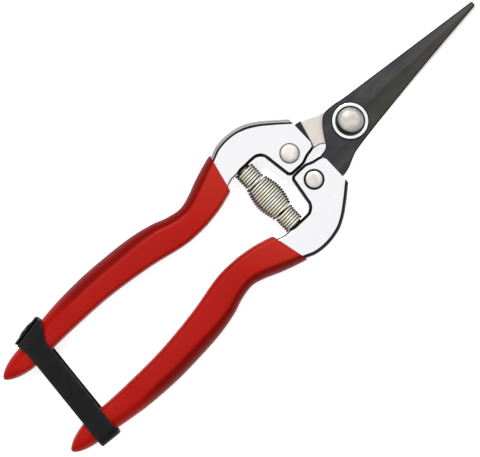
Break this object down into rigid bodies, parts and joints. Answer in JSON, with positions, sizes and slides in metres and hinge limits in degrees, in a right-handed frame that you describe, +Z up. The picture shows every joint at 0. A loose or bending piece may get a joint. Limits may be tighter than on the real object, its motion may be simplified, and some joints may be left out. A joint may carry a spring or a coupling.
{
  "type": "floral snips",
  "caption": "Straight-bladed floral snips with channel frames, riveted tangs, a barrel spring between the sleeved handles and a strap latch over their ends.",
  "frame": {"origin": "on the pivot axis, at the flat tail of the pivot rivet, in the plane that the snips lie on", "axes": "+Y to the blade tip, +X from the left handle to the right one, +Z up along the pivot axis to the rivet's domed head"},
  "size_m": [0.0472, 0.1888, 0.011],
  "materials": {
    "coated_blade": "smooth black non-stick coating, satin",
    "bare_blade": "bare ground steel",
    "rivet": "domed steel heads, satin",
    "washer": "plated",
    "frame": "bright plated pressed steel",
    "spring": "straw-coloured plated wire",
    "grip": "glossy red soft vinyl sleeve",
    "strap": "black band with a dull grain"
  },
  "bodies": {
    "left_half": {"rear_blade": "bare_blade", "pivot_rivet": "rivet", "pivot_front_washer": "washer", "pivot_rear_washer": "washer", "left_frame": "frame", "left_tang_spacer": "bare_blade", "left_tang_rivet": "rivet", "left_spring_seat": "washer", "spring": "spring", "left_grip": "grip", "strap_anchor": "strap", "strap_rivet": "rivet", "strap_burr": "washer"},
    "right_half": {"front_blade": "coated_blade", "right_frame": "frame", "right_tang_spacer": "bare_blade", "right_tang_rivet": "rivet", "right_spring_seat": "washer", "right_grip": "grip"},
    "strap": {"strap_loop": "strap"}
  },
  "joints": [
    {"name": "blade_pivot", "type": "hinge", "parent": "left_half", "child": "right_half", "pos_m": [0, 0, 0.0055], "axis": [0, 0, 1], "range_deg": [0, 22.5], "deforming": ["spring", "strap_loop"]},
    {"name": "strap_swing", "type": "hinge", "parent": "left_half", "child": "strap", "pos_m": [-0.0159, -0.1205, 0.0055], "axis": [0, 0, 1], "range_deg": [-90, 0]}
  ],
  "couplings": [
    {"joint": "strap_swing", "follows": "blade_pivot", "ratio": -4}
  ]
}
